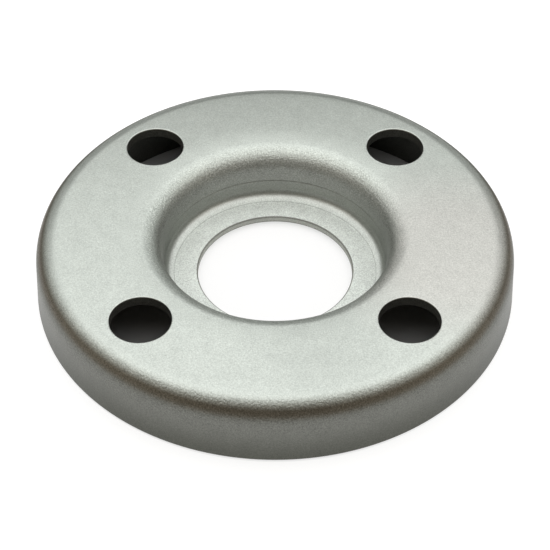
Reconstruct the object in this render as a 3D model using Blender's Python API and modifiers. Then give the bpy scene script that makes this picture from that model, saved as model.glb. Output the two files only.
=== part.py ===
"""Pressed loose flange for a small pipe, drawn from one disc of stainless steel sheet.

The sheet keeps one thickness all the way. From the bore outwards it is a flat dish floor, a bend,
the dish wall, a rounded lip, the bolting face with its bolt holes, an outer bend, and a short
skirt that flares a little. Units are metres. +Z is up, and the origin is on the axis, in the
plane of the dish floor's underside, on which the flange stands.
"""
from math import ceil, cos, pi, radians, sin, tan

import bpy

# Driving dimensions of the pressing, in metres and radians
SHEET = 0.0025                # thickness of the sheet
HEIGHT = 0.016                # from the dish floor's underside to the bolting face
OUTSIDE_DIAMETER = 0.115      # across the skirt's lower edge
DISH_DIAMETER = 0.053         # across the dish wall, where it would meet the dish floor
BEND_INSIDE = 0.003           # inside radius of the three bends
DISH_DRAFT = radians(4)       # lean of the dish wall, outwards going up
SKIRT_FLARE = radians(3.8)    # lean of the skirt, outwards going down
SKIRT_CLEARANCE = 0.0002      # from the plane that the dish stands on, up to the skirt's edge
SHOULDER_RADIUS = 0.060       # the bolting face rolls down into the lip on this large radius
SHOULDER_SLOPE = radians(5)   # slope at which the shoulder runs into the lip

# Driving dimensions of the holes and edges
BORE_DIAMETER = 0.0375
BORE_CHAMFER = 0.001          # on the underside, clear of the fillet behind the pipe's collar
BOLT_CIRCLE = 0.085
BOLT_HOLE_DIAMETER = 0.014
BOLT_HOLES = 4
FIRST_BOLT_HOLE = radians(45)
EDGE_BREAK = 0.0003           # on the upper edges of the holes, and on the skirt's edge

# How finely the round forms are divided
TURN_STEPS = 72
HOLE_STEPS = 48
ARC_STEP = radians(15)
SHARP_ANGLE = radians(35)

# The blank's centre hole is this much smaller in radius than the bore that is cut from it
BORE_TRIM = 0.001
# Cutters run this far past the faces that they cut
OVERCUT = 0.001
MERGE_DISTANCE = 0.000001


def arc(centre, radius, start, end):
    """Points on an arc in the section, from one polar angle to the other, both included."""
    steps = max(2, ceil(abs(end - start) / ARC_STEP))
    angles = [start + (end - start) * step / steps for step in range(steps + 1)]
    return [(centre[0] + radius * cos(a), centre[1] + radius * sin(a)) for a in angles]


def pressed_line():
    """Upper side of the sheet in section, as (radius, height), from the bore to the skirt's edge.

    Bends that are hollow above have the inside radius on this side of the sheet. Bends that are
    rounded above have the inside radius and the sheet's thickness.
    """
    hollow = BEND_INSIDE
    rounded = BEND_INSIDE + SHEET

    # Dish floor, and the bend up into the dish wall
    corner = hollow * tan((pi / 2 - DISH_DRAFT) / 2)
    floor_bend = (DISH_DIAMETER / 2 - corner, SHEET + hollow)
    floor_start = (BORE_DIAMETER / 2 - BORE_TRIM, SHEET)
    line = [floor_start] + arc(floor_bend, hollow, -pi / 2, -DISH_DRAFT)

    # The lip's centre is set by the shoulder above it and by the dish wall beside it
    shoulder_drop = SHOULDER_RADIUS * (1 - cos(SHOULDER_SLOPE))
    lip_height = HEIGHT - shoulder_drop - rounded * cos(SHOULDER_SLOPE)
    wall_lean = (lip_height - SHEET) * sin(DISH_DRAFT)
    lip = (DISH_DIAMETER / 2 + (rounded + wall_lean) / cos(DISH_DRAFT), lip_height)
    line += arc(lip, rounded, pi - DISH_DRAFT, pi / 2 + SHOULDER_SLOPE)

    # Shoulder, from the lip's slope to the level bolting face
    shoulder_end = lip[0] + (SHOULDER_RADIUS - rounded) * sin(SHOULDER_SLOPE)
    shoulder = (shoulder_end, HEIGHT - SHOULDER_RADIUS)
    line += arc(shoulder, SHOULDER_RADIUS, pi / 2 + SHOULDER_SLOPE, pi / 2)[1:]

    # Outer bend and skirt, which is sheared square across the sheet
    edge_height = SKIRT_CLEARANCE + SHEET * sin(SKIRT_FLARE)
    bend_height = HEIGHT - rounded
    skirt_drop = bend_height + rounded * sin(SKIRT_FLARE) - edge_height
    bend_radius = OUTSIDE_DIAMETER / 2 - skirt_drop * tan(SKIRT_FLARE) - rounded * cos(SKIRT_FLARE)
    line += arc((bend_radius, bend_height), rounded, pi / 2, SKIRT_FLARE)
    line.append((OUTSIDE_DIAMETER / 2, edge_height))
    return line


def turned(name, points, steps, collection):
    """Object made from (radius, height) points, turned once round the Z axis."""
    mesh = bpy.data.meshes.new(name)
    edges = [(i, i + 1) for i in range(len(points) - 1)]
    mesh.from_pydata([(radius, 0, height) for radius, height in points], edges, [])
    piece = bpy.data.objects.new(name, mesh)
    collection.objects.link(piece)
    turn = piece.modifiers.new("turn", "SCREW")
    turn.steps = steps
    turn.render_steps = steps
    turn.use_merge_vertices = True
    turn.merge_threshold = MERGE_DISTANCE
    return piece


def cutter(name, points, steps, collection):
    """Turned tool that is only cut with, so it shows as wire and is never rendered."""
    tool = turned(name, points, steps, collection)
    tool.display_type = "WIRE"
    tool.hide_render = True
    return tool


def bore_cutter(collection):
    """Cuts the bore in the dish floor, breaks its upper edge and chamfers its underside."""
    radius = BORE_DIAMETER / 2
    return cutter("bore_cutter", [
        (0, SHEET + OVERCUT),
        (radius + EDGE_BREAK + OVERCUT, SHEET + OVERCUT),
        (radius, SHEET - EDGE_BREAK),
        (radius, BORE_CHAMFER),
        (radius + BORE_CHAMFER + OVERCUT, -OVERCUT),
        (0, -OVERCUT),
    ], TURN_STEPS, collection)


def bolt_hole_cutter(number, collection):
    """Cuts one bolt hole through the bolting face, and breaks its upper edge."""
    radius = BOLT_HOLE_DIAMETER / 2
    tool = cutter(f"bolt_hole_cutter_{number + 1}", [
        (0, HEIGHT + OVERCUT),
        (radius + EDGE_BREAK + OVERCUT, HEIGHT + OVERCUT),
        (radius, HEIGHT - EDGE_BREAK),
        (radius, HEIGHT - SHEET - OVERCUT),
        (0, HEIGHT - SHEET - OVERCUT),
    ], HOLE_STEPS, collection)
    bearing = FIRST_BOLT_HOLE + 2 * pi * number / BOLT_HOLES
    tool.location = (BOLT_CIRCLE / 2 * cos(bearing), BOLT_CIRCLE / 2 * sin(bearing), 0)
    return tool


def blasted_stainless():
    """Stainless steel with the even grey satin that blasting leaves."""
    material = bpy.data.materials.new("blasted_stainless")
    material.use_nodes = True
    shader = material.node_tree.nodes["Principled BSDF"]
    shader.inputs["Base Color"].default_value = (0.56, 0.57, 0.54, 1)
    shader.inputs["Metallic"].default_value = 1
    shader.inputs["Roughness"].default_value = 0.42
    return material


def pressed_flange(parts, cutters):
    """The whole part: one sheet, formed first and cut afterwards."""
    flange = turned("flange", pressed_line(), TURN_STEPS, parts)
    sheet = flange.modifiers.new("sheet", "SOLIDIFY")
    sheet.thickness = SHEET
    sheet.offset = -1
    sheet.use_even_offset = True
    edges = flange.modifiers.new("edge_break", "BEVEL")
    edges.width = EDGE_BREAK
    edges.segments = 1
    edges.limit_method = "ANGLE"
    edges.angle_limit = radians(60)
    tools = [bore_cutter(cutters)]
    tools += [bolt_hole_cutter(number, cutters) for number in range(BOLT_HOLES)]
    for tool in tools:
        cut = flange.modifiers.new(tool.name, "BOOLEAN")
        cut.operation = "DIFFERENCE"
        cut.solver = "EXACT"
        cut.object = tool
    return flange


def apply_modifiers(piece):
    """Gives the object its modifiers' result as its own mesh, smooth between sharp edges."""
    depsgraph = bpy.context.evaluated_depsgraph_get()
    mesh = bpy.data.meshes.new_from_object(piece.evaluated_get(depsgraph))
    piece.modifiers.clear()
    piece.data = mesh
    mesh.name = piece.name
    mesh.shade_smooth()
    mesh.set_sharp_from_angle(angle=SHARP_ANGLE)


for old in list(bpy.data.objects):
    bpy.data.objects.remove(old)

part_collection = bpy.data.collections.new("pressed_flange")
cutter_collection = bpy.data.collections.new("cutters")
bpy.context.scene.collection.children.link(part_collection)
bpy.context.scene.collection.children.link(cutter_collection)

flange = pressed_flange(part_collection, cutter_collection)
apply_modifiers(flange)
flange.data.materials.append(blasted_stainless())
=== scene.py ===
from math import ceil, cos, pi, radians, sin, tan

import bmesh
import bpy
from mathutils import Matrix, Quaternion, Vector


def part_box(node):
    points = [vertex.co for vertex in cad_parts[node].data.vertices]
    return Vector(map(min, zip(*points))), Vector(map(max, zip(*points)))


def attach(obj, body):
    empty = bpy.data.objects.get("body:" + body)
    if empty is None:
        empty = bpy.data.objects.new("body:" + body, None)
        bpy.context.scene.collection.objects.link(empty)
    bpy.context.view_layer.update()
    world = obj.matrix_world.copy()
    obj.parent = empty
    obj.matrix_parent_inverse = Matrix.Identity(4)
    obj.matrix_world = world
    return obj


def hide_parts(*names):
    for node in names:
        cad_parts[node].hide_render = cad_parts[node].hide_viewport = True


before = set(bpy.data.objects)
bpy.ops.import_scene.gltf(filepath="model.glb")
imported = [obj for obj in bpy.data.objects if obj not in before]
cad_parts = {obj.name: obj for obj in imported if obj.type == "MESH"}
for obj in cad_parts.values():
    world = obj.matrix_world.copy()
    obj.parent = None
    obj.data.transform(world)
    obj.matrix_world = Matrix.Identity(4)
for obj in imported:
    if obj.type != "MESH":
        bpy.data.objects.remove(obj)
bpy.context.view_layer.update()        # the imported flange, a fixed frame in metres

# The flange: one disc of 2.5 mm stainless sheet, drawn in a press into a dish with a bore in its
# floor, a rounded lip, a level bolting face and a short skirt. It is blasted and pickled after
# pressing, and the bolt holes are punched through the finished face.
sheet = 0.0025
face_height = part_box("flange")[1].z
skirt_edge_radius = 0.0575
skirt_edge_height = 0.00037
skirt_flare = radians(3.8)
bend_inside = 0.003
bend_outside = bend_inside + sheet
dish_radius = 0.0265
dish_draft = radians(4)
shoulder_radius = 0.060
shoulder_slope = radians(5)
bore_radius = 0.01875
bore_chamfer = 0.001
edge_rounding = 0.0003
rounding_steps = 3
rim_angle = radians(60)
crease_angle = radians(15)
ring_steps = 192
arc_step = radians(4)
longest_span = 0.002
merge_distance = 0.000001

# The press tool's edge leaves a fine line round the dish wall, drawn as a shallow groove
tool_line_height = 0.0076
tool_line_width = 0.0003
tool_line_depth = 0.00006


def join_up(shape, corners):
    """Draws the corners, given as (radius, height), as one open line in the X-Z plane."""
    points = [shape.verts.new((radius, 0, height)) for radius, height in corners]
    for start, end in zip(points, points[1:]):
        shape.edges.new((start, end))
    return points


def round_corner(shape, corner, radius):
    """Rounds one corner of the line to an arc of that radius."""
    arms = [(edge.other_vert(corner).co - corner.co) for edge in corner.link_edges]
    turn = pi - arms[0].angle(arms[1])
    bmesh.ops.bevel(
        shape, geom=[corner], affect="VERTICES", offset_type="OFFSET",
        offset=radius * tan(turn / 2), segments=max(2, ceil(turn / arc_step)),
        profile=0.5, material=-1)


def turn_line(shape, steps):
    """Spins the line once round the Z axis, and points the faces out of the metal."""
    bmesh.ops.spin(
        shape, geom=shape.verts[:] + shape.edges[:], cent=(0, 0, 0), axis=(0, 0, 1),
        dvec=(0, 0, 0), angle=2 * pi, steps=steps, use_merge=True)
    bmesh.ops.remove_doubles(shape, verts=shape.verts, dist=merge_distance)
    bmesh.ops.recalc_face_normals(shape, faces=shape.faces)


def mesh_object(name, shape):
    """Makes an object of the finished shape, at the origin."""
    mesh = bpy.data.meshes.new(name)
    shape.to_mesh(mesh)
    shape.free()
    piece = bpy.data.objects.new(name, mesh)
    bpy.context.scene.collection.objects.link(piece)
    return piece


# The sheet's upper side in section, from the bore to the skirt's edge. The lip's corner is where
# the dish wall would meet the sloping end of the shoulder.
shoulder_drop = shoulder_radius * (1 - cos(shoulder_slope))
lip_centre_height = face_height - shoulder_drop - bend_outside * cos(shoulder_slope)
wall_lean = (lip_centre_height - sheet) * sin(dish_draft)
lip_centre_radius = dish_radius + (bend_outside + wall_lean) / cos(dish_draft)
shoulder_tangent = shoulder_radius * tan(shoulder_slope / 2)
shoulder_corner = (
    lip_centre_radius - bend_outside * sin(shoulder_slope) + shoulder_tangent * cos(shoulder_slope),
    face_height)
lip_tangent = bend_outside * tan((pi / 2 - dish_draft - shoulder_slope) / 2)
lip_corner = (
    shoulder_corner[0] - (shoulder_tangent + lip_tangent) * cos(shoulder_slope),
    shoulder_corner[1] - (shoulder_tangent + lip_tangent) * sin(shoulder_slope))
skirt_top_radius = skirt_edge_radius - (face_height - skirt_edge_height) * tan(skirt_flare)
tool_line_radius = dish_radius + (tool_line_height - sheet) * tan(dish_draft)
half_width = tool_line_width / 2
section = bmesh.new()
_, floor_corner, _, _, _, lip, shoulder, outer_corner, _ = join_up(section, [
    (bore_radius, sheet),
    (dish_radius, sheet),
    (tool_line_radius - half_width * tan(dish_draft), tool_line_height - half_width),
    (tool_line_radius + tool_line_depth, tool_line_height),
    (tool_line_radius + half_width * tan(dish_draft), tool_line_height + half_width),
    lip_corner,
    shoulder_corner,
    (skirt_top_radius, face_height),
    (skirt_edge_radius, skirt_edge_height),
])
round_corner(section, floor_corner, bend_inside)
round_corner(section, lip, bend_outside)
round_corner(section, shoulder, shoulder_radius)
round_corner(section, outer_corner, bend_outside)
for edge in section.edges[:]:
    cuts = int(edge.calc_length() / longest_span)
    if cuts:
        bmesh.ops.subdivide_edges(section, edges=[edge], cuts=cuts)
turn_line(section, ring_steps)
bmesh.ops.solidify(section, geom=section.faces[:], thickness=sheet)


def ring_edges(shape, radius, height, reach=0.00002):
    """The ring of edges at that radius and height."""
    def on_ring(vert):
        return abs(vert.co.xy.length - radius) < reach and abs(vert.co.z - height) < reach
    return [edge for edge in shape.edges if all(on_ring(vert) for vert in edge.verts)]


def soften(shape, edges, width, segments):
    """Breaks sharp edges by that width, flat with one segment and rounded with more."""
    bmesh.ops.bevel(
        shape, geom=edges, affect="EDGES", offset_type="OFFSET", offset=width,
        segments=segments, profile=0.5, material=-1)


soften(section, ring_edges(section, bore_radius, 0), bore_chamfer, 1)
soften(section, ring_edges(section, bore_radius, sheet), edge_rounding, rounding_steps)
rims = [edge for edge in section.edges if edge.is_manifold and edge.calc_face_angle() > rim_angle]
skirt_rims = [edge for edge in rims if edge.verts[0].co.xy.length > dish_radius]
soften(section, skirt_rims, edge_rounding, rounding_steps)
flange = mesh_object("pressed_flange", section)

# Bolt holes, each cut by a turned punch. The punch's shoulder rounds the hole's upper edge in two
# flats, which meet halfway round, and the upper flat runs on past the face.
bolt_holes = 4
first_bearing = radians(45)
bolt_circle_radius = 0.0425
hole_radius = 0.007
hole_steps = 96
halfway = 1 - cos(radians(45))
punches = []
for number in range(bolt_holes):
    punch = bmesh.new()
    join_up(punch, [
        (0, face_height + edge_rounding),
        (hole_radius + edge_rounding / halfway, face_height + edge_rounding),
        (hole_radius + edge_rounding * halfway, face_height - edge_rounding * halfway),
        (hole_radius, face_height - edge_rounding),
        (hole_radius, face_height - 2 * sheet),
        (0, face_height - 2 * sheet),
    ])
    turn_line(punch, hole_steps)
    bearing = first_bearing + 2 * pi * number / bolt_holes
    hole_centre = Vector((cos(bearing), sin(bearing), 0)) * bolt_circle_radius
    bmesh.ops.translate(punch, verts=punch.verts, vec=hole_centre)
    punches.append(mesh_object(f"punch_{number + 1}", punch))
for punch in punches:
    cut = flange.modifiers.new(punch.name, "BOOLEAN")
    cut.operation = "DIFFERENCE"
    cut.solver = "EXACT"
    cut.object = punch
depsgraph = bpy.context.evaluated_depsgraph_get()
cut_mesh = bpy.data.meshes.new_from_object(flange.evaluated_get(depsgraph))
flange.modifiers.clear()
flange.data = cut_mesh
for punch in punches:
    bpy.data.objects.remove(punch)

# Points that the cuts leave almost on top of each other are merged, so the mesh stays closed
cut_shape = bmesh.new()
cut_shape.from_mesh(cut_mesh)
bmesh.ops.remove_doubles(cut_shape, verts=cut_shape.verts, dist=merge_distance)
cut_shape.to_mesh(cut_mesh)
cut_shape.free()
cut_mesh.shade_smooth()
cut_mesh.set_sharp_from_angle(angle=crease_angle)


def linear(hex_colour):
    """Turns an sRGB hex colour into the linear colour that a shader reads."""
    parts = [int(hex_colour[i:i + 2], 16) / 255 for i in (1, 3, 5)]
    return [p / 12.92 if p <= 0.04045 else ((p + 0.055) / 1.055) ** 2.4 for p in parts] + [1]


def add_node(tree, kind, links=None, **settings):
    """Adds a node. Settings are set on the node itself. Links go to its inputs: a socket is
    joined to the input, and any other value is set on it."""
    node = tree.nodes.new(kind)
    for name, value in settings.items():
        setattr(node, name, value)
    for name, source in (links or {}).items():
        if isinstance(source, bpy.types.NodeSocket):
            tree.links.new(source, node.inputs[name])
        else:
            node.inputs[name].default_value = source
    return node


# Stainless steel sheet, blasted with fine grit and pickled after pressing. The level faces are an
# even, pale satin. The dish wall and the skirt carry painted shade, the outer bend a band of painted
# dark brown shade, and the dish floor painted light. Where the sheet was stretched over the bends
# its grain is coarser.
blasted_colour = linear("#B9BEB8")
# Painted warmer light on the right of the level face
warm_light_colour = linear("#BABAB5")
# Painted light: the dish floor is lighter than the level face
dish_floor_painted_light_colour = linear("#E4E8E4")
# Painted shade: the dish wall is darker
wall_painted_shade_colour = linear("#939590")
# Painted shade: the skirt is darker, and darker still towards its lower edge, a painted contact
# shadow
skirt_top_painted_shade_colour = linear("#757671")
skirt_edge_painted_shade_colour = linear("#5B5C56")
# Painted shade: a dark brown band over the outer bend
bend_painted_shade_colour = linear("#645F55")
# Painted shade inside the bolt holes
hole_wall_painted_shade_colour = linear("#7A7A74")
bored_colour = linear("#BEC0BA")
# Painted shade along the bore's upper and lower rims
bore_rim_painted_shade_colour = linear("#989994")
steel = bpy.data.materials.new("blasted_stainless_steel")
steel.use_nodes = True
tree = steel.node_tree
shader = tree.nodes["Principled BSDF"]
shader.inputs["Metallic"].default_value = 1
place = add_node(tree, "ShaderNodeTexCoord").outputs["Object"]
height = add_node(tree, "ShaderNodeSeparateXYZ", {"Vector": place}).outputs["Z"]
level_place = add_node(
    tree, "ShaderNodeVectorMath", {0: place, 1: (1, 1, 0)}, operation="MULTIPLY").outputs["Vector"]
radius = add_node(
    tree, "ShaderNodeVectorMath", {0: level_place}, operation="LENGTH").outputs["Value"]

# Zones of the pressing. Each fades in between two heights, in metres.
fades = {
    "wall": (0.0154, 0.0128),          # down the lip onto the dish wall
    "bend": (0.0159, 0.0140),          # over the outer bend
    "skirt": (0.0137, 0.0119),         # down the outer bend onto the skirt
    "skirt_edge": (0.0110, 0.0005),    # down the skirt
    "floor": (0.0042, 0.0025),         # down the lower bend onto the dish floor
    "dull_floor": (0.0037, 0.0025),    # the same, but lower
    "curved": (0.0159, 0.0150),        # everything below the level face
    "upper": (0.0060, 0.0120),         # up from the middle of the walls
}
zones = {}
for name, (start, end) in fades.items():
    zone = add_node(tree, "ShaderNodeMapRange", {
        "Value": height, "From Min": start, "From Max": end}, interpolation_type="SMOOTHSTEP")
    zones[name] = zone.outputs["Result"]
inner_reach = 0.030
outer_reach = 0.050
inside = add_node(
    tree, "ShaderNodeMath", {0: radius, 1: inner_reach}, operation="LESS_THAN").outputs[0]
outside = add_node(
    tree, "ShaderNodeMath", {0: radius, 1: outer_reach}, operation="GREATER_THAN").outputs[0]
on_floor = add_node(
    tree, "ShaderNodeMath", {0: zones["floor"], 1: inside}, operation="MULTIPLY").outputs[0]
stretched = add_node(tree, "ShaderNodeMath", {
    0: zones["curved"], 1: zones["upper"]}, operation="MULTIPLY").outputs[0]

# All four bolt holes are mirrored onto one quarter, so one distance finds their walls
quarter = add_node(
    tree, "ShaderNodeVectorMath", {0: level_place}, operation="ABSOLUTE").outputs["Vector"]
first_hole = (
    bolt_circle_radius * cos(first_bearing), bolt_circle_radius * sin(first_bearing), 0)
from_hole = add_node(tree, "ShaderNodeVectorMath", {
    0: quarter, 1: first_hole}, operation="DISTANCE").outputs["Value"]
in_hole = add_node(tree, "ShaderNodeMath", {
    0: from_hole, 1: hole_radius + edge_rounding / 3}, operation="LESS_THAN").outputs[0]

# Grit marks, drawn at 0.3 mm because real ones of 0.1 mm are too fine to show, and stronger where
# the sheet is stretched. Pickling leaves faint clouds a few millimetres wide.
grit_size = 0.0003
grit_contrast = 0.85
stretched_grit_contrast = 1.6
cloud_size = 0.004
cloud_contrast = 0.04
grit = add_node(tree, "ShaderNodeTexNoise", {
    "Vector": place, "Scale": 1 / grit_size, "Detail": 2, "Roughness": 0.6}).outputs["Fac"]
clouds = add_node(tree, "ShaderNodeTexNoise", {
    "Vector": place, "Scale": 1 / cloud_size, "Detail": 3, "Roughness": 0.6}).outputs["Fac"]
contrast = add_node(tree, "ShaderNodeMapRange", {
    "Value": stretched, "To Min": grit_contrast, "To Max": stretched_grit_contrast})
grit_shade = add_node(tree, "ShaderNodeMath", {0: grit, 1: 0.5}, operation="SUBTRACT").outputs[0]
grit_shade = add_node(tree, "ShaderNodeMath", {
    0: grit_shade, 1: contrast.outputs["Result"], 2: 1}, operation="MULTIPLY_ADD").outputs[0]
cloud_shade = add_node(tree, "ShaderNodeMapRange", {
    "Value": clouds, "From Min": 0.3, "From Max": 0.7,
    "To Min": 1 - cloud_contrast, "To Max": 1 + cloud_contrast}).outputs["Result"]

# A painted warmer light falls on the right of the face, and handling leaves a dull smudge on the
# front right
warm_light_place = (0.042, -0.008, face_height)
warm_light_reach = 0.036
warm_light_core = 0.012
smudge_place = (0.010, -0.036, face_height)
smudge_reach = 0.022
smudge_core = 0.004
smudge_shade = 0.91
from_warm_light = add_node(tree, "ShaderNodeVectorMath", {0: place, 1: warm_light_place}, operation="DISTANCE")
painted_warm_light = add_node(tree, "ShaderNodeMapRange", {
    "Value": from_warm_light.outputs["Value"], "From Min": warm_light_reach, "From Max": warm_light_core},
    interpolation_type="SMOOTHSTEP")
from_smudge = add_node(
    tree, "ShaderNodeVectorMath", {0: place, 1: smudge_place}, operation="DISTANCE")
smudge = add_node(tree, "ShaderNodeMapRange", {
    "Value": from_smudge.outputs["Value"], "From Min": smudge_core, "From Max": smudge_reach,
    "To Min": smudge_shade, "To Max": 1}, interpolation_type="SMOOTHSTEP")

# The end of the punch leaves a hair-thin, darker ring on the dish floor
ring_radius = 0.0245
ring_half_width = 0.00012
ring_shade = -0.2
ring = add_node(tree, "ShaderNodeMath", {
    0: radius, 1: ring_radius, 2: ring_half_width}, operation="COMPARE").outputs[0]
ring = add_node(tree, "ShaderNodeMath", {0: ring, 1: on_floor}, operation="MULTIPLY").outputs[0]
ring = add_node(
    tree, "ShaderNodeMath", {0: ring, 1: ring_shade, 2: 1}, operation="MULTIPLY_ADD").outputs[0]

# The bored wall is bare, bright metal; the turned edges above and below it are darker, a painted
# shade along the bore's rims
bored_height = 0.0017
bored_half_height = 0.0005
in_bore = add_node(tree, "ShaderNodeMath", {
    0: radius, 1: bore_radius + edge_rounding}, operation="LESS_THAN").outputs[0]
on_bored_wall = add_node(tree, "ShaderNodeMath", {
    0: height, 1: bored_height, 2: bored_half_height}, operation="COMPARE").outputs[0]

# The colour is laid on zone by zone, and each zone covers the ones before it
face = add_node(tree, "ShaderNodeMix", {
    "Factor": painted_warm_light.outputs["Result"], 6: blasted_colour, 7: warm_light_colour}, data_type="RGBA")
inner = add_node(tree, "ShaderNodeMix", {
    "Factor": zones["wall"], 6: face.outputs[2], 7: wall_painted_shade_colour}, data_type="RGBA")
outer = add_node(tree, "ShaderNodeMix", {
    "Factor": zones["bend"], 6: face.outputs[2], 7: bend_painted_shade_colour}, data_type="RGBA")
skirt = add_node(tree, "ShaderNodeMix", {
    "Factor": zones["skirt_edge"], 6: skirt_top_painted_shade_colour, 7: skirt_edge_painted_shade_colour}, data_type="RGBA")
outer = add_node(tree, "ShaderNodeMix", {
    "Factor": zones["skirt"], 6: outer.outputs[2], 7: skirt.outputs[2]}, data_type="RGBA")
bore = add_node(tree, "ShaderNodeMix", {
    "Factor": on_bored_wall, 6: bore_rim_painted_shade_colour, 7: bored_colour}, data_type="RGBA")
colour = inner.outputs[2]
for covered, cover in [
        (outside, outer.outputs[2]), (on_floor, dish_floor_painted_light_colour), (in_hole, hole_wall_painted_shade_colour),
        (in_bore, bore.outputs[2])]:
    colour = add_node(
        tree, "ShaderNodeMix", {"Factor": covered, 6: colour, 7: cover}, data_type="RGBA").outputs[2]
shade = grit_shade
for darker in (cloud_shade, smudge.outputs["Result"], ring):
    shade = add_node(tree, "ShaderNodeMath", {0: shade, 1: darker}, operation="MULTIPLY").outputs[0]
colour = add_node(tree, "ShaderNodeVectorMath", {0: colour, 1: shade}, operation="MULTIPLY")
tree.links.new(colour.outputs["Vector"], shader.inputs["Base Color"])

# Satin all over, a little rougher where it is stretched, and almost matt on the dish floor
satin_roughness = 0.40
stretched_roughness = 0.46
dish_floor_roughness = 0.8
roughness = add_node(tree, "ShaderNodeMapRange", {
    "Value": stretched, "To Min": satin_roughness, "To Max": stretched_roughness})
dull_floor = add_node(
    tree, "ShaderNodeMath", {0: zones["dull_floor"], 1: inside}, operation="MULTIPLY")
roughness = add_node(tree, "ShaderNodeMapRange", {
    "Value": dull_floor.outputs[0], "To Min": roughness.outputs["Result"],
    "To Max": dish_floor_roughness})
tree.links.new(roughness.outputs["Result"], shader.inputs["Roughness"])

# The coarse grain of the bends dulls their shine at low angles, most of all on the outer bend. The
# level faces and the skirt keep theirs.
full_shine = 1.0
lip_shine = 0.55
outer_bend_shine = 0.25
skirt_start = 0.0148
skirt_full = 0.0135
smooth_skirt = add_node(tree, "ShaderNodeMapRange", {
    "Value": height, "From Min": skirt_start, "From Max": skirt_full, "To Max": outside},
    interpolation_type="SMOOTHSTEP")
coarse = add_node(tree, "ShaderNodeMath", {
    0: zones["curved"], 1: smooth_skirt.outputs["Result"]}, operation="SUBTRACT")
coarse_shine = add_node(tree, "ShaderNodeMapRange", {
    "Value": outside, "To Min": lip_shine, "To Max": outer_bend_shine})
low_angle_shine = add_node(tree, "ShaderNodeMapRange", {
    "Value": coarse.outputs[0], "To Min": full_shine, "To Max": coarse_shine.outputs["Result"]})
tree.links.new(low_angle_shine.outputs["Result"], shader.inputs["Specular Tint"])

# Grain relief, slight on the level faces and like orange peel on the bends. It is drawn at 0.5 mm,
# coarser than the real grain, which is too fine to show.
peel_size = 0.0005
peel_depth = 0.00018
level_relief = 0.25
stretched_relief = 1.0
peel = add_node(tree, "ShaderNodeTexNoise", {
    "Vector": place, "Scale": 1 / peel_size, "Detail": 2, "Roughness": 0.65})
relief = add_node(tree, "ShaderNodeMapRange", {
    "Value": stretched, "To Min": level_relief, "To Max": stretched_relief})
grain = add_node(tree, "ShaderNodeBump", {
    "Height": peel.outputs["Fac"], "Strength": relief.outputs["Result"], "Distance": peel_depth})
tree.links.new(grain.outputs["Normal"], shader.inputs["Normal"])
flange.data.materials.clear()
flange.data.materials.append(steel)
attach(flange, "root")
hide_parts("flange")

# The floor: a wide sheet of pale matt card, which keeps the flange's shadow. Outside the flange and
# under the bore it glows, for camera, mirror and glass rays alone, so that it shows white there,
# also in the metal.
floor_size = 6
glow_start = 0.0556
glow_end = 0.0577
glow_strength = 0.775
bore_glow_start = 0.026
bore_glow_end = 0.018
bore_glow_strength = 0.60
floor_shape = bmesh.new()
bmesh.ops.create_grid(floor_shape, x_segments=1, y_segments=1, size=floor_size / 2)
floor = mesh_object("floor", floor_shape)
card = bpy.data.materials.new("pale_matt_card")
card.use_nodes = True
tree = card.node_tree
matt = tree.nodes["Principled BSDF"]
matt.inputs["Base Color"].default_value = linear("#A4A4A4")
matt.inputs["Roughness"].default_value = 0.9
matt.inputs["Specular IOR Level"].default_value = 0.1
matt.inputs["Emission Color"].default_value = linear("#FFFFFF")
spot = add_node(tree, "ShaderNodeTexCoord").outputs["Object"]
reach = add_node(tree, "ShaderNodeVectorMath", {0: spot}, operation="LENGTH").outputs["Value"]
outer_glow = add_node(tree, "ShaderNodeMapRange", {
    "Value": reach, "From Min": glow_start, "From Max": glow_end, "To Max": glow_strength},
    interpolation_type="SMOOTHSTEP")
bore_glow = add_node(tree, "ShaderNodeMapRange", {
    "Value": reach, "From Min": bore_glow_start, "From Max": bore_glow_end,
    "To Max": bore_glow_strength}, interpolation_type="SMOOTHSTEP")
glow = add_node(tree, "ShaderNodeMath", {
    0: outer_glow.outputs["Result"], 1: bore_glow.outputs["Result"]}, operation="ADD").outputs[0]
ray = add_node(tree, "ShaderNodeLightPath").outputs
seen = add_node(tree, "ShaderNodeMath", {
    0: ray["Is Camera Ray"], 1: ray["Is Glossy Ray"]}, operation="MAXIMUM").outputs[0]
seen = add_node(tree, "ShaderNodeMath", {
    0: seen, 1: ray["Is Transmission Ray"]}, operation="MAXIMUM").outputs[0]
glow_seen = add_node(tree, "ShaderNodeMath", {0: seen, 1: glow}, operation="MULTIPLY")
tree.links.new(glow_seen.outputs[0], matt.inputs["Emission Strength"])
floor.data.materials.append(card)

# Studio light: a wide soft box hung low over the flange, with a brighter middle. Each part has its
# width, how far it hangs behind the axis, its height and its radiance.
box_depth = 0.27
box_parts = {
    "soft_box": (0.52, 0.035, 0.132, 0.715),
    "soft_box_middle": (0.28, 0.050, 0.130, 0.72),
}
for name, (width, box_behind, box_height, radiance) in box_parts.items():
    lamp = bpy.data.lights.new(name, "AREA")
    lamp.shape = "RECTANGLE"
    lamp.size = width
    lamp.size_y = box_depth
    lamp.energy = radiance * pi * width * box_depth
    soft_box = bpy.data.objects.new(name, lamp)
    soft_box.location = (0, box_behind, box_height)
    soft_box.visible_camera = False
    bpy.context.scene.collection.objects.link(soft_box)

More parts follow.
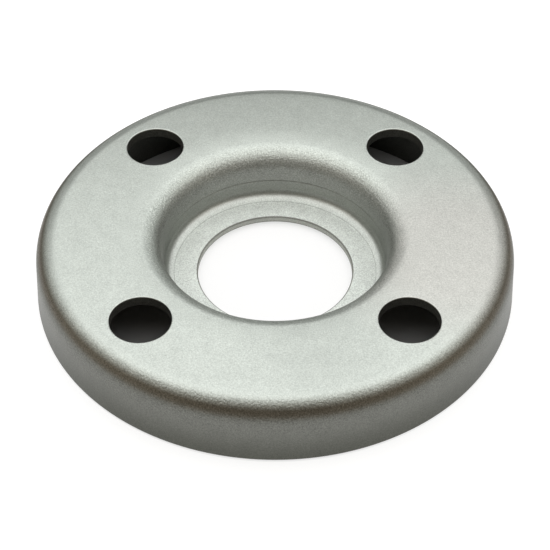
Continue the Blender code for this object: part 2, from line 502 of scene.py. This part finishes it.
# The room: dim all round, warmer and a little brighter on the camera's side, brighter at both
# sides, and darker overhead. Directions are unit vectors.
camera_side_level = 0.70
far_side_level = 0.4
both_sides_level = 0.6
low_share = 0.7
overhead_share = 0.4
camera_side_colour = linear("#EDE4D4")
far_side_colour = linear("#FDFFFB")
world = bpy.data.worlds.new("dim_room")
world.use_nodes = True
bpy.context.scene.world = world
tree = world.node_tree
background = tree.nodes["Background"]
way = add_node(tree, "ShaderNodeTexCoord").outputs["Generated"]
way = add_node(tree, "ShaderNodeSeparateXYZ", {"Vector": way}).outputs
behind = add_node(tree, "ShaderNodeMapRange", {
    "Value": way["Y"], "From Min": -0.5, "From Max": 1,
    "To Min": camera_side_level, "To Max": far_side_level}, interpolation_type="SMOOTHSTEP")
upward = add_node(tree, "ShaderNodeMapRange", {
    "Value": way["Z"], "From Min": 0, "From Max": 0.7,
    "To Min": low_share, "To Max": overhead_share})
sideways = add_node(
    tree, "ShaderNodeMath", {0: way["X"], 1: 2}, operation="POWER").outputs[0]
aside = add_node(tree, "ShaderNodeMapRange", {
    "Value": sideways, "From Min": 0.2, "From Max": 0.6, "To Max": both_sides_level},
    interpolation_type="SMOOTHSTEP")
room = add_node(tree, "ShaderNodeMath", {
    0: aside.outputs["Result"], 1: behind.outputs["Result"]}, operation="ADD").outputs[0]
room = add_node(
    tree, "ShaderNodeMath", {0: room, 1: upward.outputs["Result"]}, operation="MULTIPLY")
tree.links.new(room.outputs[0], background.inputs["Strength"])
far_side = add_node(tree, "ShaderNodeMapRange", {
    "Value": way["Y"], "From Min": -0.4, "From Max": 0.4}, interpolation_type="SMOOTHSTEP")
tint = add_node(tree, "ShaderNodeMix", {
    "Factor": far_side.outputs["Result"], 6: camera_side_colour, 7: far_side_colour},
    data_type="RGBA")
tree.links.new(tint.outputs[2], background.inputs["Color"])

# Camera at the photograph's viewing angle, worked out from the bolt holes and the rim
view_azimuth = radians(-0.046)
view_elevation = radians(44.445)
view_roll = radians(0.058)
view_distance = 0.35302
view_target = Vector((-0.00003, -0.01590, face_height))
camera_data = bpy.data.cameras.new("camera")
camera_data.lens = 100.72
camera_data.sensor_width = 36
camera = bpy.data.objects.new("camera", camera_data)
back = Vector((
    sin(view_azimuth) * cos(view_elevation),
    -cos(view_azimuth) * cos(view_elevation),
    sin(view_elevation)))
camera.location = view_target + back * view_distance
camera.rotation_mode = "QUATERNION"
camera.rotation_quaternion = (-back).to_track_quat("-Z", "Y") @ Quaternion((0, 0, 1), view_roll)
bpy.context.scene.collection.objects.link(camera)
bpy.context.scene.camera = camera
bpy.context.scene.view_settings.view_transform = "Standard"
